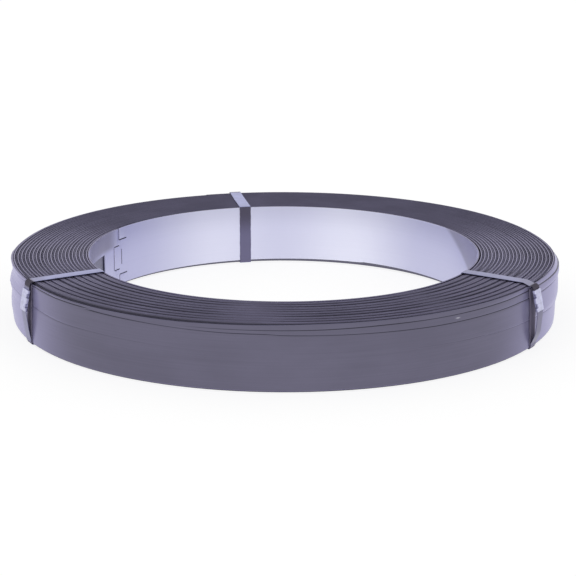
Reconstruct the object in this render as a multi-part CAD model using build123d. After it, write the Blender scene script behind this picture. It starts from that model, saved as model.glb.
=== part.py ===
from build123d import *

import math
import os

# Ribbon-wound coil of wide, heavy steel strapping, lying flat, held by three narrow steel ties.
#
# The strap is one long strip, wound turn over turn, so the coil is as high as the strap is wide.
# Each tie is a narrow band that goes once round the coil's section. Its two ends overlap on the
# outer face: the inner one lies flat on the coil, and the outer one bows away from it and carries
# a crimped and notched seal. The axis of the coil is Z, and Z = 0 is the floor under the ties.
# Millimetres throughout, and azimuths in degrees from +X towards +Y.

# The strap and its winding
STRAP_WIDTH = 50.8
STRAP_THICKNESS = 1.27
TURN_GAP = 0.17
TURNS = 43
BORE_DIAMETER = 317.5

# The turns show on both ends as ridges, each of them for three or four turns, and every second one lower
RIDGES = 12
VALLEY_DEPTH = 0.7
LOW_RIDGE_DROP = 0.25

# Two creases run round the outermost turn below its upper rim, which leans inwards above them
LOWER_CREASE_HEIGHT = 42.2
UPPER_CREASE_HEIGHT = 46.4
UPPER_CREASE_LEAN = 0.2
RIM_LEAN = 0.45

# The strap's outer end shows as a narrow step across the outer face, just past the rear tie
OUTER_END_AZIMUTH = 109.0
OUTER_END_GAP = 1.6

# The inner end is hooked into the first turn: the cuts of that joint, on the face of the bore
LOCK_AZIMUTH = 153.0
LOCK_CUT = 0.8
SHOULDER_DEPTH = 9.7
SHOULDER_SLIT_LENGTH = 11.4
TONGUE_WIDTH = 21.6
TONGUE_LENGTH = 8.9
SLOT_WIDTH = 13.4
SLOT_OFFSET = 3.0
WINDOW_WIDTH = 16.0
WINDOW_LENGTH = 31.0
WINDOW_OFFSET = 26.4

# The ties
TIE_WIDTH = 9.5
TIE_THICKNESS = 0.5
TIE_CLEARANCE = 0.1
LAYER_GAP = 0.1
RIM_BEND_RADIUS = 2.0
RIM_OVERHANG = 3.8
BULGE_BEND_RADIUS = 16.0
FALL_BEND_RADIUS = 16.0
TAIL_HEIGHT = 3.0
TAIL_BEND_RADIUS = 3.0
FREE_END_BELOW_RIM = 2.2

# How far the two front ties and the rear one stand off the outer face at their bulge and at their fall
FRONT_BULGE = 6.8
FRONT_FALL = 4.2
REAR_BULGE = 3.8
REAR_FALL = 2.4

# The azimuth of each tie, with its stand-offs
TIES = {
    "left": (-153.5, FRONT_BULGE, FRONT_FALL),
    "right": (-29.0, FRONT_BULGE, FRONT_FALL),
    "back": (102.2, REAR_BULGE, REAR_FALL),
}

# The seals, each between the rim bend and the bulge
SEAL_LENGTH = 19.0
SEAL_THICKNESS = 0.7
SEAL_CLEARANCE = 0.1
SEAL_BELOW_BEND = 3.2
SEAL_ABOVE_BULGE = 2.95
SEAL_SEAM = 2.0
NOTCH_LENGTH = 3.0
NOTCH_DEPTH = 1.3
NOTCH_SPACING = 8.0

# How far a cut runs past the face that it opens
CUT_OVERRUN = 1.0

# Sizes that follow from those
turn_pitch = STRAP_THICKNESS + TURN_GAP
bore_radius = BORE_DIAMETER / 2
outer_radius = bore_radius + TURNS * turn_pitch
coil_bottom = TIE_THICKNESS + TIE_CLEARANCE
coil_top = coil_bottom + STRAP_WIDTH
coil_middle = (coil_bottom + coil_top) / 2
tie_offset = TIE_CLEARANCE + TIE_THICKNESS / 2
bulge_height = coil_top + tie_offset - SEAL_BELOW_BEND - SEAL_LENGTH - SEAL_ABOVE_BULGE
fall_height = (coil_bottom + bulge_height) / 2


def end_face_points(level, inwards, rim):
    """One end of the coil from its bore to its rim: a ridge on every odd point, a valley on the others."""
    points = []
    for step in range(2 * RIDGES + 1):
        radius = bore_radius + (rim - bore_radius) * step / (2 * RIDGES)
        depth = (VALLEY_DEPTH, 0, VALLEY_DEPTH, LOW_RIDGE_DROP)[step % 4]
        points.append((radius, level + inwards * depth))
    return points


def wound_body():
    """The whole winding as one turned solid, with its turns showing on both ends."""
    top = end_face_points(coil_top, -1, outer_radius - RIM_LEAN)
    creases = [
        (outer_radius - UPPER_CREASE_LEAN, coil_bottom + UPPER_CREASE_HEIGHT),
        (outer_radius, coil_bottom + LOWER_CREASE_HEIGHT),
    ]
    bottom = end_face_points(coil_bottom, +1, outer_radius)
    outline = Polyline(*top, *creases, *reversed(bottom), close=True)
    return revolve(Plane.XZ * make_face(outline), Axis.Z)


def wall_cut(inner, outer, azimuth, length, low, high):
    """A curved block to cut from a wall: between two radii and two heights, a length along the arc."""
    arc = math.degrees(length / inner)
    outline = Polyline((inner, low), (outer, low), (outer, high), (inner, high), close=True)
    block = revolve(Plane.XZ * make_face(outline), Axis.Z, revolution_arc=arc)
    return Rot(0, 0, azimuth - arc / 2) * block


def inner_lock_cuts():
    """The slits, slot and window of the joint that closes the first turn into a ring."""
    face, depth = bore_radius - CUT_OVERRUN, bore_radius + STRAP_THICKNESS

    def cut(along, length, low, high):
        azimuth = LOCK_AZIMUTH + math.degrees(along / bore_radius)
        return wall_cut(face, depth, azimuth, length, low, high)

    def centred(along, length, width):
        return [cut(along, length, coil_middle - width / 2, coil_middle + width / 2)]

    def both_edges(along, length, low, high):
        mirrored = cut(along, length, 2 * coil_middle - high, 2 * coil_middle - low)
        return [cut(along, length, low, high), mirrored]

    shoulder = coil_top - SHOULDER_DEPTH
    tongue = coil_middle + TONGUE_WIDTH / 2
    cuts = both_edges(0, LOCK_CUT, shoulder, coil_top + CUT_OVERRUN)
    cuts += both_edges(-SHOULDER_SLIT_LENGTH / 2, SHOULDER_SLIT_LENGTH, shoulder - LOCK_CUT, shoulder)
    cuts += both_edges(TONGUE_LENGTH / 2, TONGUE_LENGTH, tongue - LOCK_CUT, tongue)
    cuts += centred(TONGUE_LENGTH, LOCK_CUT, TONGUE_WIDTH)
    cuts += centred(-SLOT_OFFSET, LOCK_CUT, SLOT_WIDTH)
    cuts += centred(WINDOW_OFFSET + WINDOW_LENGTH / 2, WINDOW_LENGTH, WINDOW_WIDTH)
    return cuts


def outer_end_cut():
    """The step at the strap's outer end: one thickness deep, over the whole width."""
    inner, outer = outer_radius - STRAP_THICKNESS, outer_radius + CUT_OVERRUN
    low, high = coil_bottom - CUT_OVERRUN, coil_top + CUT_OVERRUN
    return wall_cut(inner, outer, OUTER_END_AZIMUTH, OUTER_END_GAP, low, high)


def strap_coil():
    """The coil with the cuts at both ends of its strap."""
    return wound_body() - inner_lock_cuts() - outer_end_cut()


def outer_run(at_bulge, at_fall):
    """The bowed outer end of a tie, as points of its middle line: rim, bulge, fall and tail."""
    wall = outer_radius + tie_offset
    rim = (wall + RIM_OVERHANG, coil_top + tie_offset)
    bulge = (wall + at_bulge, bulge_height)
    fall = (wall + at_fall, fall_height)
    tail = (wall + TIE_THICKNESS + LAYER_GAP, coil_bottom + TAIL_HEIGHT)
    return rim, bulge, fall, tail


def tie_path(at_bulge, at_fall):
    """The middle line of a tie round the coil's section, from its flat end to its bowed end."""
    wall, bore = outer_radius + tie_offset, bore_radius - tie_offset
    under, over = coil_bottom - tie_offset, coil_top + tie_offset
    rim, bulge, fall, tail = outer_run(at_bulge, at_fall)
    points = [
        (wall, coil_top - FREE_END_BELOW_RIM),
        (wall, under),
        (bore, under),
        (bore, over),
        rim,
        bulge,
        fall,
        tail,
        (tail[0], coil_bottom),
    ]
    bends = [0, 0, 0, RIM_BEND_RADIUS, BULGE_BEND_RADIUS, FALL_BEND_RADIUS, TAIL_BEND_RADIUS]
    return FilletPolyline(*points, radius=bends)


def tie(azimuth, at_bulge, at_fall):
    """One narrow band, bent round the coil's section."""
    strip = trace(tie_path(at_bulge, at_fall), line_width=TIE_THICKNESS)
    return Rot(0, 0, azimuth) * extrude(Plane.XZ * strip, TIE_WIDTH / 2, both=True)


def seal_section():
    """A seal across its length: wrapped round the band, its two edges leaving a seam at the back."""
    width, height = TIE_WIDTH + 2 * SEAL_CLEARANCE, TIE_THICKNESS + 2 * SEAL_CLEARANCE
    sleeve = Rectangle(width + 2 * SEAL_THICKNESS, height + 2 * SEAL_THICKNESS)
    sleeve -= Rectangle(width, height)
    return sleeve - Pos(0, -height / 2 - SEAL_THICKNESS / 2) * Rectangle(SEAL_SEAM, 2 * SEAL_THICKNESS)


def seal(azimuth, at_bulge, at_fall):
    """One seal on the straight part of a tie's outer run, notched twice on each edge."""
    body = extrude(seal_section(), SEAL_LENGTH / 2, both=True)
    edge = TIE_WIDTH / 2 + SEAL_CLEARANCE + SEAL_THICKNESS
    notch = Box(2 * NOTCH_DEPTH, 4 * SEAL_THICKNESS + TIE_THICKNESS, NOTCH_LENGTH)
    for side in (-1, 1):
        for end in (-1, 1):
            body -= Pos(side * edge, 0, end * NOTCH_SPACING / 2) * notch
    rim, bulge = outer_run(at_bulge, at_fall)[:2]
    down = Vector(bulge[0] - rim[0], 0, bulge[1] - rim[1]).normalized()
    middle = Vector(rim[0], 0, rim[1]) + down * (SEAL_BELOW_BEND + SEAL_LENGTH / 2)
    seat = Plane(origin=middle, x_dir=(0, -1, 0), z_dir=-down)
    return Rot(0, 0, azimuth) * (seat * body)


def write_step(piece, name):
    """Write one piece as a STEP file."""
    export_step(piece, f"parts/{name}.step")


os.makedirs("parts", exist_ok=True)
write_step(strap_coil(), "strap_coil")
for place, (azimuth, at_bulge, at_fall) in TIES.items():
    write_step(tie(azimuth, at_bulge, at_fall), f"tie_{place}")
    write_step(seal(azimuth, at_bulge, at_fall), f"seal_{place}")
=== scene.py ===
"""A coil of heavy steel strapping, held by three narrow ties: its finish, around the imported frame.

Lengths are in metres, and azimuths in degrees from +X towards +Y, so -90 is the front.
"""

import math
from collections import namedtuple

import bpy
import numpy as np
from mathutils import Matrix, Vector


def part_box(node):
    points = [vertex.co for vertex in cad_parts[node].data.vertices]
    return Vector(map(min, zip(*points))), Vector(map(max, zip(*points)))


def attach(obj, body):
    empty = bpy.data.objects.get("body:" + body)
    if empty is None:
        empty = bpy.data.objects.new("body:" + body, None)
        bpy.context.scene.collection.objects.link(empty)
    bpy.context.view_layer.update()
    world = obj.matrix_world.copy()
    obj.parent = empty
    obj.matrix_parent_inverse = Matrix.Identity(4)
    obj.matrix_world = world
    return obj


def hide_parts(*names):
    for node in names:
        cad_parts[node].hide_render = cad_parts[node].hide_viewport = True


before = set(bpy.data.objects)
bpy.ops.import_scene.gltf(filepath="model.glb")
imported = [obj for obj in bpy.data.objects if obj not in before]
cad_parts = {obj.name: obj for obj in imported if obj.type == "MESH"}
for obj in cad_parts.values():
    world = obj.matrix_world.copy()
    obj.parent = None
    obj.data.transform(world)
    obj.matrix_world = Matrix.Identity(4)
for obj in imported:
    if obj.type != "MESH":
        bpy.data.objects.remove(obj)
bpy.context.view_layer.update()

MM = 0.001

# The coil, as in the solids
COIL_LOW, COIL_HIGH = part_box("strap_coil")
OUTER_RADIUS = COIL_HIGH.x
COIL_BOTTOM, COIL_TOP = COIL_LOW.z, COIL_HIGH.z
BORE_RADIUS = 158.75 * MM
STRAP_THICKNESS = 1.27 * MM
TURNS = 43

# The winding: a first turn closed into a ring, and the others wound round it as one spiral.
# The turns are shifted up and down a little, within the height of the coil.
SHIFT = 0.5 * MM
STRAP_WIDTH = COIL_TOP - COIL_BOTTOM - SHIFT
SPIRAL_START = 153.0
SPIRAL_END = 109.0
SPIRAL_TURNS = TURNS - 1 + (SPIRAL_END - SPIRAL_START) / 360
TURN_GAP = 0.17 * MM
SPIRAL_RADIUS = BORE_RADIUS + STRAP_THICKNESS + TURN_GAP
SPIRAL_PITCH = (OUTER_RADIUS - STRAP_THICKNESS - SPIRAL_RADIUS) / SPIRAL_TURNS
STEPS_PER_TURN = 128
RING_STEPS = 240

# The finishes of the winding's faces, in the order in which its mesh has them
WINDING_FINISHES = ("strap", "bore", "edge", "inside")
STRAP_FACE, BORE_FACE, EDGE_FACE, INSIDE_FACE = range(len(WINDING_FINISHES))

# Laps are counted from the outermost one inwards. At the sides every second lap is lower and
# darkened by painted shade, over such a spread, and elsewhere by a least share. At the front a lap in
# four or five is, and the laps inside it step down to the next.
SIDE_SPREAD = 52.0
SIDE_LEAST = 0.12
SIDE_DROP = 0.45 * MM
FRONT_DROP = 0.95 * MM
STEP_DOWN = 0.16 * MM
LOW_FRONT_LAPS = (6, 10, 15, 19, 24, 28, 33, 37)
LAP_BLEND = 0.05
LOWEST = 0.06 * MM

# Where the front's and the back's patterns hold: from and to which azimuth, and over which fade.
# In some areas of the front the laps are more level: azimuth, spread and how much more.
FRONT_ARC = (-161.0, -17.0, 12.0)
BACK_ARC = (10.0, 170.0, 30.0)
LEVEL_AREAS = ((-97.0, 9.0, 0.85), (-55.0, 5.0, 0.6))

# Chance in the laps: how low and how deep in painted shade the low ones and the high ones are at the
# sides, and how uneven the drops are. At the front the other laps keep a share of that shade, and the
# sides show most of it.
LAP_SEED = 4
LOW_LAP_DEPTH_AND_SHADE = (0.65, 1.0)
HIGH_LAP_DEPTH_AND_SHADE = (0, 0.22)
UNEVEN_FRONT = 0.12 * MM
UNEVEN_SIDES = 0.08 * MM
FRONT_SHARE = 0.25
SIDE_SHARE = 0.6

# How much painted shade every lap carries at the front, in its level areas, at the back and beside
# the brightest places, the two sides
FRONT_LAP_SHADE = 0.16
LEVEL_LAP_SHADE = 0.22
BACK_LAP_SHADE = 0.3
SIDE_LAP_SHADE = 0.2
BRIGHT_SPREAD = 12.0

# Where the outermost lap's upper edge lies low, the lap behind it stands only so much above it
RIM_STEP = 0.45 * MM

# The innermost turn's lower edge lies a little higher than the others': by (azimuth, rise in mm)
LIFT = (
    (-180, 0.6), (30, 1.5), (41, 1.8), (53, 2.2), (63, 2.5),
    (65, 1.9), (85, 1.5), (119, 1.0), (180, 0.8),
)

# At the back the turns behind the innermost one sag by so much, to the floor
SAG = 0.95 * MM
SAG_AZIMUTH = 90
SAG_SPREAD = 85

# The outermost lap's upper edge lies lower on the left: by (azimuth, fall in mm)
RIM_FALL = (
    (-180, 0.1), (-170, 0.3), (-156, 1.1), (-148, 1.7), (-138, 1.9), (-110, 1.8), (-98, 1.2),
    (-84, 0.4), (-40, 0.2), (-14, 0.3), (0, 0.2), (109, 0.2),
)

# The outer laps spring outwards a little at the two sides: azimuth, spread in degrees, height
SPRINGS = ((-176.0, 11.0, 1.7 * MM), (-6.0, 13.0, 1.4 * MM))

# Lines along the outermost lap. A line has its plain width at its usual strength, is wider or
# narrower with the strength within limits, and leaves room for the lines above it.
LINE_HALF_WIDTH = 0.42 * MM
LINE_WIDTHS = (0.7, 1.5)
USUAL_STRENGTH = 1.3
LINE_DEPTH = 0.42 * MM
DEEPEST_STRENGTH = 2
# Painted shade in a line's groove, for each unit of its strength
LINE_GROOVE_SHADE = 0.7
LINE_SPACING = 1.3 * MM
LINE_LEAN = 0.5
LINE_GAP = 0.01 * MM
RIM_MARGIN = 0.1 * MM
THINNEST_RIM = 0.25

# Each line's knots: azimuth, height in mm, strength, and how far the face above the line lies
# further in, in mm
LINES = (
    ((-75, 27.5, 0, 0), (-58, 26.2, 0.5, 0), (-32, 23.4, 0.8, 0), (-24, 21.8, 1.3, -0.4),
     (-13, 19.1, 1.4, -1.2), (0, 18, 1.3, -1.2), (15, 17, 0.5, -0.6), (30, 16, 0, 0)),
    ((-179, 33.0, 0, 0), (-160, 32.2, 0.8, 0), (-150, 31.4, 1.0, 0), (-140, 29.4, 0.8, 0),
     (-129, 29.8, 0.6, 0), (-118, 29.4, 0.4, 0), (-105, 29, 0, 0)),
    ((-180, 45.6, 0.3, -0.7), (-166, 46.4, 0.5, -0.7), (-157, 47.4, 0.6, -0.2), (-150, 47.9, 1.6, 0.1),
     (-140, 46.8, 2.2, 0.2), (-130, 45.9, 2.0, 0.2), (-120, 45.1, 1.3, 0.2), (-110, 44.0, 1.0, 0.2),
     (-97, 42.8, 1.3, 0.2), (-83, 41.9, 1.1, 0.2), (-60, 40.9, 1.4, 0.2), (-34, 41.3, 1.6, 0.2),
     (-25, 40.6, 1.8, -0.2), (-15, 40.3, 2.2, -1.2), (5, 40.2, 2.0, -1.2), (30, 40, 0, 0)),
    ((-112, 46.0, 0, 0), (-104, 45.9, 1.0, 0.2), (-83, 46.0, 1.4, 0.2), (-70, 46.7, 1.8, 0.2),
     (-60, 46.6, 1.2, 0.2), (-40, 46.9, 1.7, 0.2), (-34, 47.3, 2.0, 0.2), (-22, 47.0, 2.2, 1.0),
     (-8, 46.6, 2.4, 3.2), (10, 46.6, 2.0, 2.7), (40, 46.6, 0, 0)),
)

# Swellings of the outermost lap at the two sides: azimuth, spread, height and its spread in mm,
# and how far out in mm
SWELLINGS = (
    (-172.0, 9.0, 15.0, 9.0, 1.5), (-172.0, 9.0, 32.0, 4.8, 1.9), (-172.0, 9.0, 42.0, 3.0, -0.8),
    (-6.0, 14.0, 28.0, 13.0, 1.2), (-6.0, 14.0, 8.0, 8.0, 0.4),
)
SWELLING_LEVELS = (6.0, 12.0, 18.0, 25.0, 28.5, 32.0, 35.5, 39.0, 42.5)

# The joint that closes the first turn: lengths along the strip from its azimuth, and heights. They
# are those of the solids to within a millimetre.
LOCK_AZIMUTH = 153.0
LOCK_CUT = 0.95 * MM
SHOULDER_DEPTH = 9.7 * MM
SHOULDER_SLIT_LENGTH = 11.4 * MM
TONGUE_WIDTH = 21.6 * MM
TONGUE_LENGTH = 8.1 * MM
SLOT_WIDTH = 13.4 * MM
SLOT_OFFSET = 3.6 * MM
WINDOW_WIDTH = 16.0 * MM
WINDOW_LENGTH = 31.0 * MM
WINDOW_OFFSET = 26.4 * MM
CUT_OVERRUN = 1 * MM
CUT_GAP = 0.01 * MM

# What counts as a bright face of the cut first turn: one that faces the axis so far, within so much
# of the bore, or an upright one within so many degrees of the window's end
FACES_AXIS = -0.9
BORE_TOLERANCE = 0.1 * MM
WINDOW_TOLERANCE = 0.3
UPRIGHT = 0.5

# The ties. Heights are above the coil's bottom.
TIE_WIDTH = 10.0 * MM
TIE_THICKNESS = 0.5 * MM
TIE_CLEARANCE = 0.1 * MM
LAYER_GAP = 0.1 * MM
FREE_END_BELOW_RIM = 2.2 * MM
FLAT_BULGE_HEIGHT = 27.0 * MM
FLAT_FOOT_HEIGHT = 7.0 * MM
BULGE_HEIGHT = 29.0 * MM
FALL_HEIGHT = 12.0 * MM
TAIL_HEIGHT = 3.8 * MM
TAIL_END = 1.4 * MM
CORNER_RADIUS = 1.1 * MM
RIM_RADIUS = 2.6 * MM
RUN_RADIUS = 18.0 * MM
TAIL_RADIUS = 2.0 * MM
TIE_STEP = 1.2 * MM
BEND_STEP = 0.22
TIE_CHAMFER = 0.12 * MM

# The length before the rim over which a tie turns from its line on the top to that of its outer run
RIM_RUN = 8 * MM

# For each tie: its azimuth at the bore, near the rim, down its outer run and at its foot; how far its
# middle line stands off the outer face at the flat end, over the rim, at the bulge and at the fall,
# in mm; how far below the rim its seal begins, in mm; and how much painted shade its top and its bowed
# run carry
Tie = namedtuple(
    "Tie", "at_bore at_rim outer foot flat overhang bulge fall seal top_tone bow_tone"
)
TIES = {
    "left": Tie(-153.8, -152.6, -152.35, -153.85, 0.12, 1.6, 5.1, 2.4, 6.2, 0.2, 0.42),
    "right": Tie(-27.2, -28.9, -30.7, -29.4, 0.12, 3.1, 6.7, 4.6, 2.8, 0.33, 0.58),
    "back": Tie(102.6, 101.9, 101.8, 101.8, 0.12, 2.6, 3.8, 2.2, 4.0, 0.08, 0.33),
}

# Painted light and shade along a tie's path: the flat end, shaded under the bowed run; the top, which
# grows darker from a place inside the rim; the run down the bore, which grows darker upwards; and the
# rim bend, which is darkest
FLAT_END_SHADE = 1.5
TOP_SHADING = 0.1
TOP_SHADE_FROM = 18 * MM
TOP_SHADE_RUN = 12 * MM
BORE_RUN_SHADE = 0.62
BORE_DARKENING = 0.24
BORE_DARK_FROM = 20 * MM
BORE_DARK_RUN = 28 * MM
BEND_SHADE = 1.8
BEND_PLACE = 0.8 * MM
BEND_REACH = 6.0 * MM

# How ragged a tie's edges are at its flat end and elsewhere, and how that is evened out
TIE_SEED = 3
FLAT_RAGGEDNESS = 0.45
RAGGEDNESS = 0.1
EVENING = (0.3, 0.6, 0.3)

# The seals, which follow the band
SEAL_LENGTH = 17.2 * MM
SEAL_THICKNESS = 0.7 * MM
SEAL_CLEARANCE = 0.1 * MM
SEAL_SEAM = 2.0 * MM
SEAL_STEPS = 58
NOTCH_LENGTH = 3.0 * MM
NOTCH_DEPTH = 1.3 * MM
NOTCH_SPACING = 8.0 * MM
NOTCH_EDGE = 0.5 * MM
NOTCH_SWELL = 0.45 * MM
SEAL_ROUNDING = 0.35 * MM
ROUNDED_SHARE = 0.3

# The camera, from the coil's outline in the photograph
IMAGE_SIZE = 576
FOCAL_PIXELS = 1876.2
AIM_PIXEL = (284.13, 308.59)
CAMERA_DISTANCE = 7.0395 * OUTER_RADIUS
CAMERA_ELEVATION = math.radians(15.86)
CAMERA_ROLL = -0.0011
SENSOR = 36.0

# How bright the world is overhead, where it is 1 at the horizon, and between which upward parts
# of a direction it changes
ZENITH = 0.62
DIMMING = (0.35, 0.85)

# The floor, which glows a little so that it is white
FLOOR_SIZE = 60
FLOOR_COLOUR = (0.95, 0.95, 0.95, 1)
FLOOR_ROUGHNESS = 0.9
FLOOR_GLOW = 1.14
GLOW_SHARE = 0.7


def smooth(value):
    """A soft step from 0 to 1 while the value goes from 0 to 1."""
    t = np.clip(value, 0, 1)
    return t * t * (3 - 2 * t)


def bump(azimuths, centre, spread):
    """A soft hump round one azimuth."""
    away = (azimuths - centre + 180) % 360 - 180
    return np.exp(-((away / spread) ** 2))


def arc_window(azimuths, start, end, fade):
    """One between two azimuths of the same turn, falling to nought within the fade at both ends."""
    middle = (start + end) / 2
    away = np.abs((azimuths - middle + 180) % 360 - 180)
    return smooth(((end - start) / 2 - away) / fade)


def at_sides(azimuths, spread):
    """A soft hump round each of the coil's two sides."""
    return np.maximum(bump(azimuths, 180, spread), bump(azimuths, 0, spread))


def wrapped(azimuths):
    """Azimuths from -180 up to 180 degrees."""
    return (np.asarray(azimuths) + 180) % 360 - 180


def knotted(azimuths, knots, column=1):
    """Values read off knots by azimuth, which run from -180 or so to 180 degrees."""
    places = [knot[0] for knot in knots]
    return np.interp(wrapped(azimuths), places, [knot[column] for knot in knots])


def lap_tables():
    """For every lap: its painted shade at the sides and at the front, and its drops there."""
    laps = np.arange(TURNS + 2)
    chance = np.random.default_rng(LAP_SEED)
    side_low = ((laps % 2 == 0) & (laps > 0)) * chance.uniform(*LOW_LAP_DEPTH_AND_SHADE, len(laps))
    side_low += (laps % 2 == 1) * chance.uniform(*HIGH_LAP_DEPTH_AND_SHADE, len(laps))
    front_low = FRONT_SHARE * side_low
    front_drop = np.zeros(len(laps))
    since = 0
    for lap in laps:
        if lap in LOW_FRONT_LAPS or lap == 1:
            front_low[lap] = 1
            front_drop[lap] = FRONT_DROP
            since = 0
        else:
            front_drop[lap] = STEP_DOWN * max(0, since - 1) * (lap > 0)
        since += 1
    side_drop = SIDE_DROP * side_low
    front_drop += chance.uniform(0, UNEVEN_FRONT, len(laps)) * (laps > 1)
    side_drop += chance.uniform(0, UNEVEN_SIDES, len(laps)) * (laps > 1)
    return side_low, front_low, side_drop, front_drop


LAP_TABLES = lap_tables()


def by_lap(turns, table):
    """A lap's value, which changes over softly where the next lap starts."""
    place = SPIRAL_TURNS - turns + LAP_BLEND
    lap = np.floor(place).astype(int)
    share = smooth((place - lap) / (2 * LAP_BLEND))
    lap = np.clip(lap, 0, len(table) - 1)
    before = np.clip(lap - 1, 0, len(table) - 1)
    return table[before] * (1 - share) + table[lap] * share


def arcs(turns, azimuths):
    """How far the patterns of the sides and of the front hold, and how level the front is made."""
    front = arc_window(azimuths, *FRONT_ARC)
    level = np.ones_like(front)
    for centre, spread, share in LEVEL_AREAS:
        level = level * (1 - share * bump(azimuths, centre, spread))
    level = np.where(turns < SPIRAL_TURNS - 2, level, 1.0)
    sides = SIDE_LEAST + (1 - SIDE_LEAST) * at_sides(azimuths, SIDE_SPREAD)
    return sides, front * level, front * (1 - level)


def lap_shade(turns, azimuths):
    """Painted shade on a lap: nought on a lit lap and one on a fully shaded one."""
    side_low, front_low, _, _ = LAP_TABLES
    sides, front, levelled = arcs(turns, azimuths)
    shading = by_lap(turns, side_low) * sides * SIDE_SHARE * (1 - front)
    shading += by_lap(turns, front_low) * front
    shading += FRONT_LAP_SHADE * front + LEVEL_LAP_SHADE * levelled
    shading += BACK_LAP_SHADE * arc_window(azimuths, *BACK_ARC)
    beside = 1 - at_sides(azimuths, BRIGHT_SPREAD)
    shading += SIDE_LAP_SHADE * beside * (1 - arc_window(azimuths, *FRONT_ARC))
    return np.clip(shading, 0, 1)


def drops(turns, azimuths):
    """How far below the coil's top each point of the winding lies, and its lower edge's own sag."""
    _, _, side_drop, front_drop = LAP_TABLES
    sides, front, _ = arcs(turns, azimuths)
    drop = by_lap(turns, side_drop) * sides * (1 - front) + by_lap(turns, front_drop) * front
    sag = SAG * bump(azimuths, SAG_AZIMUTH, SAG_SPREAD) * (turns < SPIRAL_TURNS - 1)
    return drop, sag


def spring(turns, azimuths):
    """How far the outer turns stand out between the ties."""
    share = (np.clip(turns, 0, SPIRAL_TURNS) / SPIRAL_TURNS) ** 2
    return share * sum(height * bump(azimuths, centre, spread) for centre, spread, height in SPRINGS)


def strap_section():
    """The strap across its length, as (from its inner face, height) points: lower and upper edge."""
    half = STRAP_THICKNESS / 2
    turn = np.radians([180, 225, 270, 315, 360])
    low = np.stack([half + half * np.cos(turn), half + half * np.sin(turn)], 1)
    high = low[::-1] * (1, -1) + (0, STRAP_WIDTH)
    return low, high


def swelling(azimuth, height):
    """How far the outermost lap swells outwards at a height in mm."""
    total = 0.0
    for centre, spread, level, level_spread, swell in SWELLINGS:
        rise = math.exp(-(((height - level) / level_spread) ** 2))
        total += swell * MM * rise * float(bump(azimuth, centre, spread))
    return total


def face_rows(azimuth):
    """The lines and the swelling's levels at one azimuth, from below: height, strength and step."""
    rows = [(level, 0.0, 0.0) for level in SWELLING_LEVELS]
    rows += [tuple(float(knotted(azimuth, knots, k)) for k in (1, 2, 3)) for knots in LINES]
    return sorted(rows)


def lined_sections(azimuths, bottoms):
    """The outermost lap's section at each azimuth, with its lines, and each point's painted shade."""
    low, high = strap_section()
    narrowest, widest = LINE_WIDTHS
    outlines, tones = [], []
    for azimuth, bottom in zip(wrapped(azimuths), bottoms):
        fall = float(knotted(azimuth, RIM_FALL)) * MM
        lift = bottom - COIL_BOTTOM
        top = STRAP_WIDTH - fall - STRAP_THICKNESS / 2 - RIM_MARGIN
        rows = face_rows(azimuth)
        face, dark, inwards = [], [], 0.0
        room = top - LINE_SPACING * len(rows)
        last = STRAP_THICKNESS
        for rank, (level, strength, step) in enumerate(rows):
            half = LINE_HALF_WIDTH * min(widest, max(narrowest, strength / USUAL_STRENGTH))
            ceiling = room + LINE_SPACING * (rank + 1) - half
            height = min(max(level * MM - lift, last + half), ceiling)
            outer = STRAP_THICKNESS + swelling(azimuth, level)
            face.append((outer - inwards, height - half))
            face.append((outer - inwards - LINE_DEPTH * min(strength, DEEPEST_STRENGTH), height))
            face.append((outer - inwards - step * MM * LINE_LEAN, height + half))
            inwards += step * MM
            # Painted shade at the bottom of each line's groove
            dark += [0, min(1, LINE_GROOVE_SHADE * strength), 0]
            last = height + half + LINE_GAP
        rim = high - (0, fall)
        rim[:, 0] *= max(THINNEST_RIM, 1 - inwards / STRAP_THICKNESS)
        outlines.append(np.vstack([low, face, rim]))
        tones.append([0] * len(low) + dark + [0] * len(high))
    return np.array(outlines), np.array(tones)


def loft(rings, closed):
    """Vertices and faces through a row of outlines with equally many points."""
    count, points = rings.shape[:2]
    corners = np.arange(count * points).reshape(count, points)
    before = corners if closed else corners[:-1]
    after = np.roll(corners, -1, 0) if closed else corners[1:]
    quads = np.stack([before, after, np.roll(after, -1, 1), np.roll(before, -1, 1)], -1)
    faces = quads.reshape(-1, 4).tolist()
    if not closed:
        faces += [corners[0].tolist(), corners[-1][::-1].tolist()]
    return rings.reshape(-1, 3), faces


def add_object(name, mesh):
    """Put a mesh into the scene."""
    item = bpy.data.objects.new(name, mesh)
    bpy.context.scene.collection.objects.link(item)
    return item


def plain_part(vertices, faces):
    """A part of one finish and no darkness, for add_mesh."""
    return vertices, faces, [0] * len(faces), [0] * len(vertices)


def add_mesh(name, parts, finishes):
    """One mesh from parts of (vertices, faces, finish of each face, darkness of each vertex)."""
    vertices, faces, slots, dark = [], [], [], []
    for part_vertices, part_faces, part_slots, part_dark in parts:
        start = len(vertices)
        vertices += np.asarray(part_vertices).tolist()
        faces += [[start + corner for corner in face] for face in part_faces]
        slots += list(part_slots)
        dark += list(part_dark)
    mesh = bpy.data.meshes.new(name)
    mesh.from_pydata(vertices, [], faces)
    for finish in finishes:
        mesh.materials.append(finish)
    mesh.polygons.foreach_set("material_index", slots)
    mesh.attributes.new("dark", "FLOAT", "POINT").data.foreach_set("value", dark)
    mesh.shade_smooth()
    mesh.update()
    return add_object(name, mesh)


def even_normals(item):
    """Let the large faces of a smooth mesh stay flat right up to its rounded edges."""
    modifier = item.modifiers.new("normals", "WEIGHTED_NORMAL")
    modifier.keep_sharp = True


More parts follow.
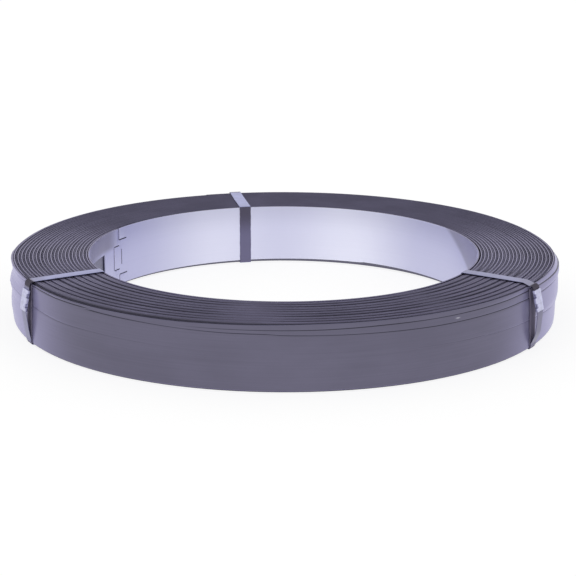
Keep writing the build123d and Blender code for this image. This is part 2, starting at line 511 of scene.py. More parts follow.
def turned(azimuths, inner_radii, bottoms, outlines):
    """Outlines set upright round the coil's axis, as an array of rings of points."""
    angle = np.radians(azimuths)[:, None]
    radius = np.reshape(inner_radii, (-1, 1)) + outlines[..., 0]
    height = np.reshape(bottoms, (-1, 1)) + outlines[..., 1]
    shape = np.broadcast(angle, radius, height).shape
    points = [radius * np.cos(angle), radius * np.sin(angle), height]
    return np.stack([np.broadcast_to(p, shape) for p in points], axis=-1)


def spiral_radius(turns, azimuths):
    """The strap's inner face after that many turns of the spiral."""
    return SPIRAL_RADIUS + SPIRAL_PITCH * turns + spring(turns, azimuths)


def outer_face(azimuth):
    """The coil's outer face at one azimuth."""
    last = (azimuth - SPIRAL_END) % 360
    turns = SPIRAL_TURNS - 1 + last / 360
    return float(spiral_radius(turns, azimuth)) + STRAP_THICKNESS


def spiral_part(start, end, lined):
    """A stretch of the spiral: its points, faces, finishes and darkness."""
    turns = np.linspace(start, end, round((end - start) * STEPS_PER_TURN) + 1)
    azimuths = SPIRAL_START + 360 * turns
    low, high = strap_section()
    drop, sag = drops(turns, azimuths)
    bottoms = np.maximum(COIL_BOTTOM + SHIFT - drop, LOWEST)
    if lined:
        outlines, tones = lined_sections(azimuths, bottoms)
    else:
        outlines = np.repeat(np.vstack([low, high])[None], len(turns), 0)
        outlines[:, :len(low), 1] -= np.minimum(sag, bottoms - LOWEST)[:, None]
        short = knotted(azimuths, RIM_FALL) * MM - RIM_STEP - drop
        short = np.where(turns < SPIRAL_TURNS - 2, 0, np.maximum(short, 0))
        outlines[:, len(low):, 1] -= short[:, None]
        # Painted shade on the inner laps: darkest on low laps and at the front and back
        tones = np.repeat(lap_shade(turns, azimuths)[:, None], len(low) + len(high), 1)
    rings = turned(azimuths, spiral_radius(turns, azimuths), bottoms, outlines)
    points = rings.shape[1]
    around = np.full(points, STRAP_FACE)
    around[:len(low) - 1] = EDGE_FACE
    around[points - len(high) + 1:points - 1] = EDGE_FACE
    around[points - 1] = INSIDE_FACE
    vertices, faces = loft(rings, False)
    slots = np.tile(around, len(turns) - 1).tolist() + [EDGE_FACE, EDGE_FACE]
    return vertices, faces, slots, tones.ravel()


def curved_block(inner, outer, azimuth, length, low, high):
    """A closed block between two radii and two heights, a length along the arc, to cut with."""
    half = math.degrees(length / inner) / 2
    azimuths = np.linspace(azimuth - half, azimuth + half, max(2, round(2 * half) + 1))
    outline = np.array([[(0, 0), (outer - inner, 0), (outer - inner, high - low), (0, high - low)]])
    return loft(turned(azimuths, inner, low, outline), False)


def lock_blocks():
    """The blocks that cut the joint's slits, slot and window out of the first turn."""
    inner, outer = BORE_RADIUS - CUT_OVERRUN, BORE_RADIUS + STRAP_THICKNESS + TURN_GAP / 2
    middle = (COIL_BOTTOM + COIL_TOP) / 2
    blocks = []

    def cut(along, length, low, high, mirrored=False):
        azimuth = LOCK_AZIMUTH + math.degrees(along / BORE_RADIUS)
        blocks.append(curved_block(inner, outer, azimuth, length, middle + low, middle + high))
        if mirrored:
            blocks.append(curved_block(inner, outer, azimuth, length, middle - high, middle - low))

    top = (COIL_TOP - COIL_BOTTOM) / 2
    shoulder = top - SHOULDER_DEPTH
    slit = SHOULDER_SLIT_LENGTH
    tongue = TONGUE_WIDTH / 2
    cut(0, LOCK_CUT, shoulder, top + CUT_OVERRUN, True)
    cut(-slit / 2, slit, shoulder - LOCK_CUT, shoulder - CUT_GAP, True)
    cut(TONGUE_LENGTH / 2, TONGUE_LENGTH, tongue - LOCK_CUT, tongue, True)
    cut(TONGUE_LENGTH + LOCK_CUT / 2, LOCK_CUT, LOCK_CUT - tongue, tongue - LOCK_CUT)
    cut(-SLOT_OFFSET, LOCK_CUT, -SLOT_WIDTH / 2, SLOT_WIDTH / 2)
    cut(WINDOW_OFFSET + WINDOW_LENGTH / 2, WINDOW_LENGTH, -WINDOW_WIDTH / 2, WINDOW_WIDTH / 2)
    return blocks


def first_turn():
    """The innermost turn, closed into a ring by its joint: points, faces, finishes and darkness."""
    azimuths = np.linspace(0, 360, RING_STEPS, endpoint=False)
    low, high = strap_section()
    outlines = np.repeat(np.vstack([low, high])[None], RING_STEPS, 0)
    outlines[:, :len(low), 1] += knotted(azimuths, LIFT)[:, None] * MM
    rings = turned(azimuths, BORE_RADIUS, COIL_BOTTOM + SHIFT, outlines)
    vertices, faces = loft(rings, True)
    ring = add_mesh("first_turn", [plain_part(vertices, faces)], [])
    cutters = []
    for block in lock_blocks():
        cutter = add_mesh("cutter", [plain_part(*block)], [])
        cutters.append(cutter)
        modifier = ring.modifiers.new("cut", "BOOLEAN")
        modifier.operation = "DIFFERENCE"
        modifier.solver = "EXACT"
        modifier.object = cutter
    evaluated = ring.evaluated_get(bpy.context.evaluated_depsgraph_get())
    cut_mesh = bpy.data.meshes.new_from_object(evaluated)
    vertices = np.array([tuple(v.co) for v in cut_mesh.vertices])
    faces = [list(face.vertices) for face in cut_mesh.polygons]
    window = LOCK_AZIMUTH + math.degrees(WINDOW_OFFSET / BORE_RADIUS)
    slots = []
    for face in cut_mesh.polygons:
        azimuth = math.degrees(math.atan2(face.center.y, face.center.x))
        outwards = Vector((face.center.x, face.center.y, 0)).normalized()
        on_bore = face.center.xy.length < BORE_RADIUS + BORE_TOLERANCE
        inside = on_bore and face.normal.dot(outwards) < FACES_AXIS
        upright = abs(face.normal.z) < UPRIGHT
        beside_window = upright and abs(azimuth - window) < WINDOW_TOLERANCE
        slots.append(BORE_FACE if inside or beside_window else EDGE_FACE)
    for item in [ring] + cutters:
        bpy.data.objects.remove(item, do_unlink=True)
    return vertices, faces, slots, [0] * len(vertices)


def make_winding(finishes):
    """The strap: its first turn, the spiral round it, and the outermost turn with its lines."""
    parts = [
        first_turn(),
        spiral_part(0, SPIRAL_TURNS - 1, False),
        spiral_part(SPIRAL_TURNS - 1, SPIRAL_TURNS, True),
    ]
    winding = add_mesh("strap_winding", parts, [finishes[name] for name in WINDING_FINISHES])
    even_normals(winding)
    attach(winding, "root")
    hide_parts("strap_coil")


def rounded_path(points, radii):
    """A polyline with its corners rounded, as evenly close points."""
    path = [np.array(points[0])]
    for before, corner, after, radius in zip(points, points[1:], points[2:], radii):
        before, corner, after = np.array(before), np.array(corner), np.array(after)
        back = (before - corner) / np.linalg.norm(before - corner)
        ahead = (after - corner) / np.linalg.norm(after - corner)
        half = math.acos(np.clip(back @ ahead, -1, 1)) / 2
        reach = radius / math.tan(half)
        steps = max(3, round((math.pi - 2 * half) / BEND_STEP))
        for t in np.linspace(0, 1, steps + 1):
            bend = (1 - t) ** 2 * back * reach + t ** 2 * ahead * reach
            path.append(corner + bend)
    path.append(np.array(points[-1]))
    filled = [path[0]]
    for a, b in zip(path, path[1:]):
        count = max(1, round(float(np.linalg.norm(b - a)) / TIE_STEP))
        filled += [a + (b - a) * (k + 1) / count for k in range(count)]
    return np.array(filled)


def tie_path(place):
    """A tie's middle line as (radius, height), from its flat end to its bowed end, and its rim."""
    tie = TIES[place]
    offset = TIE_CLEARANCE + TIE_THICKNESS / 2
    outside, bore = outer_face(tie.outer) + offset, BORE_RADIUS - offset
    under, over = COIL_BOTTOM - offset, COIL_TOP + offset
    tail = outside + TIE_THICKNESS + LAYER_GAP
    rim = (outside + tie.overhang * MM, over)
    corners = [
        (outside + tie.flat * MM / 3, COIL_TOP - FREE_END_BELOW_RIM),
        (outside + tie.flat * MM, COIL_BOTTOM + FLAT_BULGE_HEIGHT),
        (outside, COIL_BOTTOM + FLAT_FOOT_HEIGHT),
        (outside, under),
        (bore, under),
        (bore, over),
        rim,
        (outside + tie.bulge * MM, COIL_BOTTOM + BULGE_HEIGHT),
        (outside + tie.fall * MM, COIL_BOTTOM + FALL_HEIGHT),
        (tail, COIL_BOTTOM + TAIL_HEIGHT),
        (tail, COIL_BOTTOM + TAIL_END),
    ]
    radii = [RUN_RADIUS, RUN_RADIUS] + [CORNER_RADIUS] * 3
    radii += [RIM_RADIUS, RUN_RADIUS, RUN_RADIUS, TAIL_RADIUS]
    path = rounded_path(corners, radii)
    lengths = np.concatenate([[0], np.cumsum(np.linalg.norm(np.diff(path, axis=0), axis=1))])
    at_rim = lengths[np.argmin(np.linalg.norm(path - rim, axis=1))]
    return path, lengths, at_rim


def directions(path):
    """The direction along a path at each of its points."""
    along = np.gradient(path, axis=0)
    return along / np.linalg.norm(along, axis=1)[:, None]


def across(point, direction, azimuth):
    """A path's point in space, with the directions across the band and out of its face."""
    radius, height = point
    out, up = direction
    angle = math.radians(azimuth)
    radial = np.array([math.cos(angle), math.sin(angle), 0])
    aside = np.array([-math.sin(angle), math.cos(angle), 0])
    centre = radial * radius + np.array([0, 0, height])
    outwards = radial * -up + np.array([0, 0, out])
    return centre, aside, outwards


def tie_light_and_shade(place, path, lengths, at_rim):
    """The painted light and shade along the band's path: its top, bore run, flat end, bow and rim
    bend.
    """
    radius, height = path.T
    past = radius - outer_face(TIES[place].outer) + TOP_SHADE_FROM
    tone = TIES[place].top_tone + TOP_SHADING * smooth(past / TOP_SHADE_RUN)
    inner_run = radius < BORE_RADIUS
    above = height[inner_run] - BORE_DARK_FROM
    tone[inner_run] = BORE_RUN_SHADE + BORE_DARKENING * smooth(above / BORE_DARK_RUN)
    before_bore = lengths < lengths[np.argmax(inner_run)]
    tone[before_bore & (height > COIL_BOTTOM)] = FLAT_END_SHADE
    bow = lengths > at_rim
    tone[bow] = TIES[place].bow_tone
    bend = smooth(1 - np.abs(lengths - at_rim - BEND_PLACE) / BEND_REACH)
    return np.maximum(tone, np.minimum(1, BEND_SHADE * bend))


def tie_azimuths(place, radius, height):
    """Where the band's middle line runs at each point of its path."""
    tie = TIES[place]
    wall = outer_face(tie.outer)
    share = np.clip((height - COIL_BOTTOM) / (COIL_TOP - COIL_BOTTOM), 0, 1)
    outer = tie.foot + (tie.outer - tie.foot) * share
    inner = np.interp(radius, (BORE_RADIUS, wall - RIM_RUN), (tie.at_bore, tie.at_rim))
    return inner + (outer - tie.at_rim) * np.clip((radius - wall + RIM_RUN) / RIM_RUN, 0, 1)


def make_tie(place, finishes):
    """One narrow band bent round the coil, a little ragged along its edges."""
    path, lengths, rim = tie_path(place)
    tones = tie_light_and_shade(place, path, lengths, rim)
    chance = np.random.default_rng(len(place) + TIE_SEED)
    flat_end = (tones == FLAT_END_SHADE) & (lengths < rim)
    ragged = np.where(flat_end, FLAT_RAGGEDNESS, RAGGEDNESS) * MM
    draws = [chance.normal(size=len(path)) for _ in ("left edge", "right edge")]
    waves = [np.convolve(draw, EVENING, "same") * ragged for draw in draws]
    azimuths = tie_azimuths(place, path[:, 0], path[:, 1])
    a, b, cut = TIE_WIDTH / 2, TIE_THICKNESS / 2, TIE_CHAMFER
    outline = [
        (-a + cut, -b), (a - cut, -b), (a, -b + cut), (a, b - cut),
        (a - cut, b), (-a + cut, b), (-a, b - cut), (-a, -b + cut),
    ]
    rings = []
    for index, (point, direction) in enumerate(zip(path, directions(path))):
        centre, aside, outwards = across(point, direction, azimuths[index])
        shift = [waves[0][index] if u < 0 else waves[1][index] for u, _ in outline]
        rings.append([centre + aside * (u + du) + outwards * v for (u, v), du in zip(outline, shift)])
    vertices, faces = loft(np.array(rings), False)
    # The side towards the coil takes the pale finish, painted light for the gap under the bow
    slots = [1 if side == 0 else 0 for _ in path[1:] for side in range(len(outline))] + [0, 0]
    dark = np.repeat(tones, len(outline))
    parts = [(vertices, faces, slots, dark)]
    band = add_mesh(f"tie_band_{place}", parts, [finishes["tie"], finishes["tie_inside"]])
    even_normals(band)
    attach(band, "root")
    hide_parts(f"tie_{place}")


def seal_outline(pinch, swell):
    """A seal across its length: a sleeve folded round the band, with a seam at its back."""
    w, h = TIE_WIDTH / 2 + SEAL_CLEARANCE - pinch, TIE_THICKNESS / 2 + SEAL_CLEARANCE + swell
    wide, high, seam = w + SEAL_THICKNESS, h + SEAL_THICKNESS, SEAL_SEAM / 2
    r, s = SEAL_ROUNDING, ROUNDED_SHARE * SEAL_ROUNDING
    outside = [
        (seam, -high), (wide - r, -high), (wide - s, -high + s), (wide, -high + r),
        (wide, high - r), (wide - s, high - s), (wide - r, high),
        (-wide + r, high), (-wide + s, high - s), (-wide, high - r),
        (-wide, -high + r), (-wide + s, -high + s), (-wide + r, -high), (-seam, -high),
    ]
    inside = [(-seam, -h), (-w, -h), (-w, h), (w, h), (w, -h), (seam, -h)]
    return outside + inside


def make_seal(place, finishes):
    """One crimped seal: a sleeve on the band's outer run, pinched twice on each edge."""
    path, lengths, rim = tie_path(place)
    along = directions(path)
    stations = np.linspace(0, SEAL_LENGTH, SEAL_STEPS)
    rings = []
    for station in stations:
        where = rim + TIES[place].seal * MM + station
        point = [np.interp(where, lengths, path[:, k]) for k in (0, 1)]
        direction = [np.interp(where, lengths, along[:, k]) for k in (0, 1)]
        centre, aside, outwards = across(point, direction, float(tie_azimuths(place, *point)))
        beside = min(abs(station - SEAL_LENGTH / 2 - side * NOTCH_SPACING / 2) for side in (-1, 1))
        pinched = float(smooth((NOTCH_LENGTH / 2 - beside) / NOTCH_EDGE + 0.5))
        outline = seal_outline(pinched * NOTCH_DEPTH, pinched * NOTCH_SWELL)
        rings.append([centre + aside * u + outwards * v for u, v in outline])
    vertices, faces = loft(np.array(rings), False)
    part = plain_part(vertices, faces)
    seal = add_mesh(f"seal_sleeve_{place}", [part], [finishes["seal"]])
    even_normals(seal)
    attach(seal, "root")
    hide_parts(f"seal_{place}")


class Finish:
    """A material's node tree, with short calls for the nodes that the finishes use."""

    def __init__(self, name):
        self.material = bpy.data.materials.new(name)
        self.material.use_nodes = True
        self.tree = self.material.node_tree
        self.shader = self.tree.nodes["Principled BSDF"]
        self.place = self.put("ShaderNodeTexCoord").outputs["Object"]
        self.x, self.y, self.z = self.put("ShaderNodeSeparateXYZ", Vector=self.place).outputs
        self.dark = self.put("ShaderNodeAttribute", {"attribute_name": "dark"}).outputs["Fac"]

    def put(self, kind, settings=None, **inputs):
        """A node with its settings and inputs; an input is a value or another node's output."""
        node = self.tree.nodes.new(kind)
        for name, value in (settings or {}).items():
            setattr(node, name, value)
        for name, value in inputs.items():
            self.set(node.inputs[name.replace("_", " ")], value)
        return node

    def set(self, socket, value):
        """Give a socket a value, or link it."""
        if isinstance(value, bpy.types.NodeSocket):
            self.tree.links.new(value, socket)
        else:
            socket.default_value = value

    def step(self, kind, operation, values):
        """One step of arithmetic, by a node of some kind."""
        node = self.put(kind, {"operation": operation})
        for socket, value in zip(node.inputs, values):
            self.set(socket, value)
        return node.outputs[0]

    def math(self, operation, *values):
        """One step of arithmetic with numbers."""
        return self.step("ShaderNodeMath", operation, values)

    def vector_math(self, operation, *values):
        """One step of arithmetic with places."""
        return self.step("ShaderNodeVectorMath", operation, values)

    def spread(self, value, low, high, to_low=0.0, to_high=1.0):
        """The value's soft way from low to high, as a way between two others."""
        node = self.put(
            "ShaderNodeMapRange", {"interpolation_type": "SMOOTHSTEP"},
            Value=value, From_Min=low, From_Max=high, To_Min=to_low, To_Max=to_high,
        )
        return node.outputs["Result"]

    def noise(self, along, up, detail=4.0, seed=0.0):
        """Cloudy unevenness, from 0 to 1, with so many features a metre along and up."""
        stretched = self.vector_math("MULTIPLY", self.place, (along, along, up))
        moved = self.vector_math("ADD", stretched, (seed, seed, seed))
        node = self.put("ShaderNodeTexNoise", Vector=moved, Scale=1.0, Detail=detail)
        return node.outputs["Fac"]

    def blend(self, factor, first, second):
        """Two colours mixed."""
        node = self.put("ShaderNodeMix", {"data_type": "RGBA"})
        self.set(node.inputs["Factor"], factor)
        self.set(node.inputs["A"], first)
        self.set(node.inputs["B"], second)
        return node.outputs["Result"]

    def mark(self, azimuth, height, half_arc, half_height):
        """A soft spot on an upright face, from 0 round about to 1 at its middle."""
        along = self.math("SUBTRACT", self.math("ARCTAN2", self.y, self.x), math.radians(azimuth))
        along = self.math("DIVIDE", along, math.radians(half_arc))
        up = self.math("DIVIDE", self.math("SUBTRACT", self.z, height), half_height)
        away = self.math("ADD", self.math("MULTIPLY", along, along), self.math("MULTIPLY", up, up))
        return self.math("EXPONENT", self.math("MULTIPLY", away, -1.0))

    def mottled(self, clouds, base, low, high):
        """A colour that goes from one factor of it to another with the clouds."""
        return self.blend(self.spread(clouds, *CLOUDS), colour(*base, low), colour(*base, high))

    def relief(self, height, distance):
        """Bump from a height of 0 to 1."""
        node = self.put("ShaderNodeBump", Height=height, Distance=distance, Strength=1.0)
        self.set(self.shader.inputs["Normal"], node.outputs["Normal"])

    def finish(self, base, roughness, metallic=1.0, tint=(1, 1, 1)):
        """Set the shader's own sockets."""
        self.set(self.shader.inputs["Base Color"], base)
        self.set(self.shader.inputs["Roughness"], roughness)
        self.set(self.shader.inputs["Metallic"], metallic)
        self.shader.inputs["Specular Tint"].default_value = (*tint, 1)
        return self.material


def colour(red, green, blue, factor=1.0):
    """A colour value, scaled."""
    return (red * factor, green * factor, blue * factor, 1)


# Between which values of the cloudy noise a finish changes
CLOUDS = (0.3, 0.7)

STRAP_COLOUR = (0.134, 0.126, 0.186)
# A painted sheen: the strap's colour where its face is seen at a shallow angle
GRAZING_SHEEN_COLOUR = (0.370, 0.345, 0.580)
INSIDE_COLOUR = (0.250, 0.245, 0.320)
EDGE_COLOUR = (0.190, 0.178, 0.278)
BORE_COLOUR = (0.510, 0.510, 0.725)
# Painted light: the bore's face in its brightest places
BORE_HIGHLIGHT_COLOUR = (0.840, 0.845, 0.985)
# Painted shade on the ends of the bore's far half
BORE_END_SHADE_COLOUR = (0.290, 0.275, 0.360)
# The ties' colours: a lit tone, and painted shade for shaded runs, the rim bend and the flat end under
# the bow
TIE_COLOUR = (0.348, 0.362, 0.643)
TIE_SHADE_COLOUR = (0.166, 0.156, 0.254)
TIE_DEEP_SHADE_COLOUR = (0.082, 0.073, 0.098)
FLAT_END_SHADE_COLOUR = (0.195, 0.176, 0.250)
# Painted light: the band's side towards the coil is pale, so that the gap under the bowed run is less
# dark
TIE_INSIDE_FILL_COLOUR = (0.620, 0.610, 0.700)
SEAL_COLOUR = (0.570, 0.570, 0.760)

# What the metal's shine tends to at a shallow angle, and over which facing the strap's colour takes on
# a painted sheen
STRAP_TINT = (0.88, 0.89, 1.0)
EDGE_TINT = (0.88, 0.86, 0.93)
GRAZING = (0.33, 0.95)

# Depths of the finest relief
LINE_RELIEF = 0.00002
BORE_RELIEF = 0.00001
TIE_RELIEF = 0.00004
SEAL_RELIEF = 0.00005

# Between which tones a tie's painted shade deepens, then darkens further, and at its flat end turns
# paler again
SHADED_TONES = (0.0, 0.6)
DARK_TONES = (0.6, 1.0)
FLAT_TONES = (1.1, 1.4)

# A bright nick in the outer face: azimuth, height, half its arc in degrees and half its height
NICK = (-54.6, 44.6 * MM, 0.45, 0.48 * MM)
NICK_COLOUR = (0.420, 0.410, 0.480)

# Painted shade on the outer face behind the right tie's bowed run, given as the nick is
BOW_SHADE_SPOT = (-28.75, 30 * MM, 0.55, 17 * MM)
BOW_SHADE_DARKNESS = 0.75

# Painted light on the bore's face, its brightest places: azimuth, spread in degrees, strength. Noise
# makes them uneven.
BORE_LIGHT_PATCHES = ((68.0, 21.0, 1.0), (112.0, 20.0, 0.8), (28.0, 14.0, 0.25))
UNEVEN_BORE_LIGHT = (0.12, 0.3)
MEAN_UNEVENNESS = 0.21

# The bore's face carries painted shade near its upper edge: between two heights, from none to a share
UPPER_BORE_SHADE = (28 * MM, 54 * MM, 0.0, 0.16)
UPPER_SHADE_COLOUR = (0.1, 0.1, 0.14)

# The painted shade at the right of the bore's far half, a painted dark reflection, has a slanted edge:
# so many radians to each metre of height, and between which angles in radians
RIGHT_END_SHADE = 0.72
RIGHT_SHADE_SLANT = 10.5
RIGHT_SHADE_EDGE = (-0.085, -0.015)

# The painted shade at the left comes up between two azimuths on the upper part of the face, above two
# heights, and further on between two others on the whole face
LEFT_END_SHADE = 0.85
LEFT_SHADE_EDGE = (math.radians(152), math.radians(160))
LEFT_SHADE_HEIGHTS = (33 * MM, 39 * MM)
FULL_END_SHADE = 0.7
FULL_SHADE_EDGE = (math.radians(163), math.radians(170))


def strap_finish():
    """Cold-rolled strap under a thin wax, with fine lines, soft clouds, a painted sheen and painted
    shade.
    """
    f = Finish("strap_steel")
    fine = f.noise(along=9, up=900, detail=3)
    clouds = f.noise(along=16, up=40, detail=5, seed=7.0)
    tone = f.math("ADD", f.math("MULTIPLY", fine, 0.35), f.math("MULTIPLY", clouds, 0.65))
    plain = f.mottled(tone, STRAP_COLOUR, 0.92, 1.09)
    facing = f.put("ShaderNodeLayerWeight", Blend=0.5).outputs["Facing"]
    # Painted sheen: paler and bluer where the face is seen at a shallow angle
    painted_sheen = f.blend(f.spread(facing, *GRAZING), plain, colour(*GRAZING_SHEEN_COLOUR))
    nicked = f.blend(f.mark(*NICK), painted_sheen, colour(*NICK_COLOUR))
    # Painted shade: the grooves, the shaded laps and the spot behind the right tie's bowed run darken
    # the colour
    dark = f.math("MAXIMUM", f.dark, f.math("MULTIPLY", f.mark(*BOW_SHADE_SPOT), BOW_SHADE_DARKNESS))
    lined = f.blend(f.spread(dark, 0.0, 0.85), nicked, colour(*STRAP_COLOUR, 0.25))
    roughness = f.spread(clouds, *CLOUDS, to_low=0.33, to_high=0.42)
    metallic = f.spread(dark, 0.1, 0.9, to_low=0.45, to_high=0.0)
    f.shader.inputs["IOR"].default_value = 1.05
    f.shader.inputs["Coat Weight"].default_value = 0.35
    f.shader.inputs["Coat Roughness"].default_value = 0.2
    f.relief(fine, LINE_RELIEF)
    return f.finish(lined, roughness, metallic, STRAP_TINT)


def inside_finish():
    """The strap's inner face, which shows in the joint's window and under the innermost turn; painted
    shade near the floor.
    """
    f = Finish("strap_inside")
    clouds = f.noise(along=40, up=40, seed=5.0)
    plain = f.mottled(clouds, INSIDE_COLOUR, 0.85, 1.12)
    # Painted shade: darker towards the floor, under the innermost turn's raised lower edge
    shade_near_floor = f.spread(f.z, 4 * MM, 9 * MM, to_low=0.75, to_high=0.0)
    shade = f.blend(shade_near_floor, plain, colour(*INSIDE_COLOUR, 0.5))
    roughness = f.spread(clouds, *CLOUDS, to_low=0.35, to_high=0.45)
    return f.finish(shade, roughness)


def edge_finish():
    """The strap's slit edges: low and shaded laps are rougher, less metallic and darkened by painted
    shade.
    """
    f = Finish("strap_edge")
    clouds = f.noise(along=30, up=30, seed=3.0)
    bright = f.mottled(clouds, EDGE_COLOUR, 0.88, 1.12)
    # Painted shade: the dark attribute darkens the low and shaded laps
    shade = f.blend(f.dark, bright, colour(*EDGE_COLOUR, 0.38))
    metallic = f.spread(f.dark, 0.0, 1.0, to_low=1.0, to_high=0.3)
    roughness = f.spread(f.dark, 0.0, 1.0, to_low=0.27, to_high=0.75)
    f.shader.inputs["IOR"].default_value = 1.2
    return f.finish(shade, roughness, metallic, EDGE_TINT)


def bore_light_node(f, azimuth, fine, broad):
    """How much painted light the bore's face carries: a sum of soft humps round the axis, made uneven
    by noise.
    """
    bore_light = 0.0
    for centre, spread, strength in BORE_LIGHT_PATCHES:
        away = f.math("SUBTRACT", azimuth, math.radians(centre))
        away = f.math("DIVIDE", away, math.radians(spread))
        hump = f.math("EXPONENT", f.math("MULTIPLY", f.math("MULTIPLY", away, away), -1.0))
        bore_light = f.math("ADD", f.math("MULTIPLY", hump, strength), bore_light)
    fine_share, broad_share = UNEVEN_BORE_LIGHT
    tone = f.math("ADD", f.math("MULTIPLY", fine, fine_share), f.math("MULTIPLY", broad, broad_share))
    bore_light = f.math("ADD", bore_light, f.math("SUBTRACT", tone, MEAN_UNEVENNESS))
    return f.math("MINIMUM", f.math("MAXIMUM", bore_light, 0.0), 1.0)


def end_shade_node(f, azimuth):
    """How much painted shade the bore's far half carries at its two ends; the near half has none."""
    slanted = f.math("SUBTRACT", azimuth, f.math("MULTIPLY", f.z, RIGHT_SHADE_SLANT))
    right_end = f.spread(slanted, *RIGHT_SHADE_EDGE, to_low=1.0, to_high=0.0)
    left_end = f.math(
        "MULTIPLY", f.spread(azimuth, *LEFT_SHADE_EDGE), f.spread(f.z, *LEFT_SHADE_HEIGHTS)
    )
    whole_face = f.spread(azimuth, *FULL_SHADE_EDGE, to_high=FULL_END_SHADE)
    left_end = f.math("MAXIMUM", left_end, whole_face)
    end_shade = f.math(
        "MAXIMUM", f.math("MULTIPLY", right_end, RIGHT_END_SHADE), f.math("MULTIPLY", left_end, LEFT_END_SHADE)
    )
    return f.math("MULTIPLY", end_shade, f.math("GREATER_THAN", f.y, 0.0))


def bore_finish():
    """The bore's bright face: faint lines, broad places of painted light, and painted shade up top and
    at the ends.
    """
    f = Finish("bore_steel")
    fine = f.noise(along=7, up=1400, detail=3)
    broad = f.noise(along=30, up=8, detail=3, seed=2.0)
    azimuth = f.math("ARCTAN2", f.y, f.x)
    bore_light = bore_light_node(f, azimuth, fine, broad)
    # Painted light on the bore's face
    bright = f.blend(bore_light, colour(*BORE_COLOUR), colour(*BORE_HIGHLIGHT_COLOUR))
    # Painted shade near the upper edge
    shaded = f.blend(f.spread(f.z, *UPPER_BORE_SHADE), bright, colour(*UPPER_SHADE_COLOUR))
    # Painted shade at the ends of the far half
    end_shaded = f.blend(end_shade_node(f, azimuth), shaded, colour(*BORE_END_SHADE_COLOUR))
    roughness = f.spread(broad, *CLOUDS, to_low=0.3, to_high=0.42)
    f.relief(fine, BORE_RELIEF)
    return f.finish(end_shaded, roughness)


def tie_finish():
    """Smooth rolled band, whose colour, shine and roughness follow its tone of painted light and
    shade.
    """
    f = Finish("tie_steel")
    clouds = f.noise(along=120, up=120)
    light = f.mottled(clouds, TIE_COLOUR, 0.88, 1.12)
    # Painted light and shade along the band, from the dark attribute
    shaded = f.blend(f.spread(f.dark, *SHADED_TONES), light, colour(*TIE_SHADE_COLOUR))
    darker = f.blend(f.spread(f.dark, *DARK_TONES), shaded, colour(*TIE_DEEP_SHADE_COLOUR))
    shade = f.blend(f.spread(f.dark, *FLAT_TONES), darker, colour(*FLAT_END_SHADE_COLOUR))
    roughness = f.spread(f.dark, *DARK_TONES, to_low=0.32, to_high=0.8)
    metallic = f.spread(f.dark, 0.7, 1.0, to_low=1.0, to_high=0.0)
    f.shader.inputs["IOR"].default_value = 1.15
    f.relief(clouds, TIE_RELIEF)
    return f.finish(shade, roughness, metallic)


def tie_inside_finish():
    """The band's side towards the coil, dull, and pale as painted light for the gap under the bowed
    run.
    """
    f = Finish("tie_inside")
    clouds = f.noise(along=200, up=200)
    shade = f.blend(clouds, colour(*TIE_INSIDE_FILL_COLOUR, 0.85), colour(*TIE_INSIDE_FILL_COLOUR, 1.1))
    f.relief(clouds, TIE_RELIEF)
    f.shader.inputs["IOR"].default_value = 1.15
    return f.finish(shade, roughness=0.8, metallic=0.0)


def seal_finish():
    """Pale zinc-coated sheet with a soft spangle."""
    f = Finish("seal_steel")
    clouds = f.noise(along=260, up=260, detail=5)
    shade = f.mottled(clouds, SEAL_COLOUR, 0.82, 1.1)
    roughness = f.spread(clouds, *CLOUDS, to_low=0.3, to_high=0.5)
    f.relief(clouds, SEAL_RELIEF)
    return f.finish(shade, roughness)


def make_camera():
    """The photograph's camera, aimed at the coil's axis at the level of its lower end."""
    data = bpy.data.cameras.new("camera")
    data.sensor_width = SENSOR
    data.lens = FOCAL_PIXELS / IMAGE_SIZE * SENSOR
    data.shift_x = 0.5 - AIM_PIXEL[0] / IMAGE_SIZE
    data.shift_y = AIM_PIXEL[1] / IMAGE_SIZE - 0.5
    camera = add_object("camera", data)
    aim = Vector((0, 0, COIL_BOTTOM))
    back = Vector((0, -math.cos(CAMERA_ELEVATION), math.sin(CAMERA_ELEVATION)))
    camera.location = aim + back * CAMERA_DISTANCE
    camera.rotation_euler = (math.pi / 2 - CAMERA_ELEVATION, CAMERA_ROLL, 0)
    bpy.context.scene.camera = camera


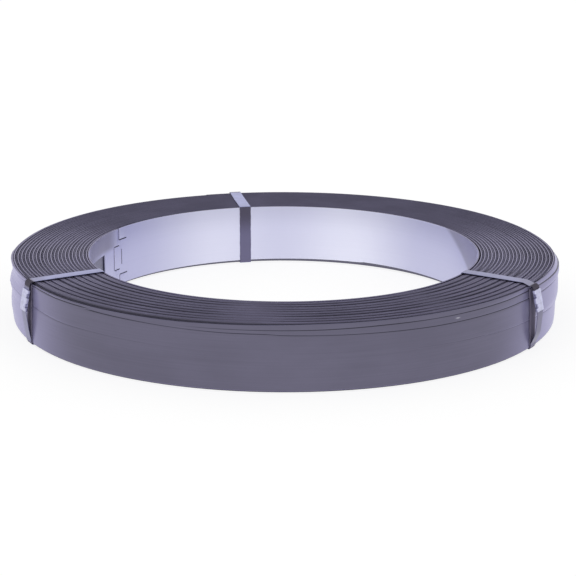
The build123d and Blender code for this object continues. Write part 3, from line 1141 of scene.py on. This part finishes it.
def make_floor():
    """A large white floor that keeps the object's shadow."""
    bpy.ops.mesh.primitive_plane_add(size=FLOOR_SIZE)
    floor = bpy.context.object
    floor.name = "floor"
    material = bpy.data.materials.new("floor")
    material.use_nodes = True
    nodes, links = material.node_tree.nodes, material.node_tree.links
    shader = nodes["Principled BSDF"]
    shader.inputs["Base Color"].default_value = FLOOR_COLOUR
    shader.inputs["Roughness"].default_value = FLOOR_ROUGHNESS
    shader.inputs["Specular IOR Level"].default_value = 0
    glow = nodes.new("ShaderNodeEmission")
    mix = nodes.new("ShaderNodeMixShader")
    glow.inputs["Strength"].default_value = FLOOR_GLOW
    mix.inputs[0].default_value = GLOW_SHARE
    links.new(shader.outputs[0], mix.inputs[1])
    links.new(glow.outputs[0], mix.inputs[2])
    links.new(mix.outputs[0], nodes["Material Output"].inputs[0])
    floor.data.materials.append(material)


def make_light():
    """A white world, a little dimmer overhead."""
    world = bpy.data.worlds.new("world")
    world.use_nodes = True
    nodes, links = world.node_tree.nodes, world.node_tree.links
    place = nodes.new("ShaderNodeTexCoord")
    parts = nodes.new("ShaderNodeSeparateXYZ")
    links.new(place.outputs["Generated"], parts.inputs[0])
    dimmer = nodes.new("ShaderNodeMapRange")
    dimmer.interpolation_type = "SMOOTHSTEP"
    dimmer.inputs["From Min"].default_value = DIMMING[0]
    dimmer.inputs["From Max"].default_value = DIMMING[1]
    dimmer.inputs["To Min"].default_value = 1.0
    dimmer.inputs["To Max"].default_value = ZENITH
    links.new(parts.outputs["Z"], dimmer.inputs["Value"])
    background = nodes["Background"]
    background.inputs["Color"].default_value = (1, 1, 1, 1)
    links.new(dimmer.outputs["Result"], background.inputs["Strength"])
    bpy.context.scene.world = world


finishes = {
    "strap": strap_finish(),
    "inside": inside_finish(),
    "edge": edge_finish(),
    "bore": bore_finish(),
    "tie": tie_finish(),
    "tie_inside": tie_inside_finish(),
    "seal": seal_finish(),
}
make_winding(finishes)
for place in TIES:
    make_tie(place, finishes)
    make_seal(place, finishes)
make_camera()
make_floor()
make_light()
bpy.context.scene.view_settings.view_transform = "Standard"
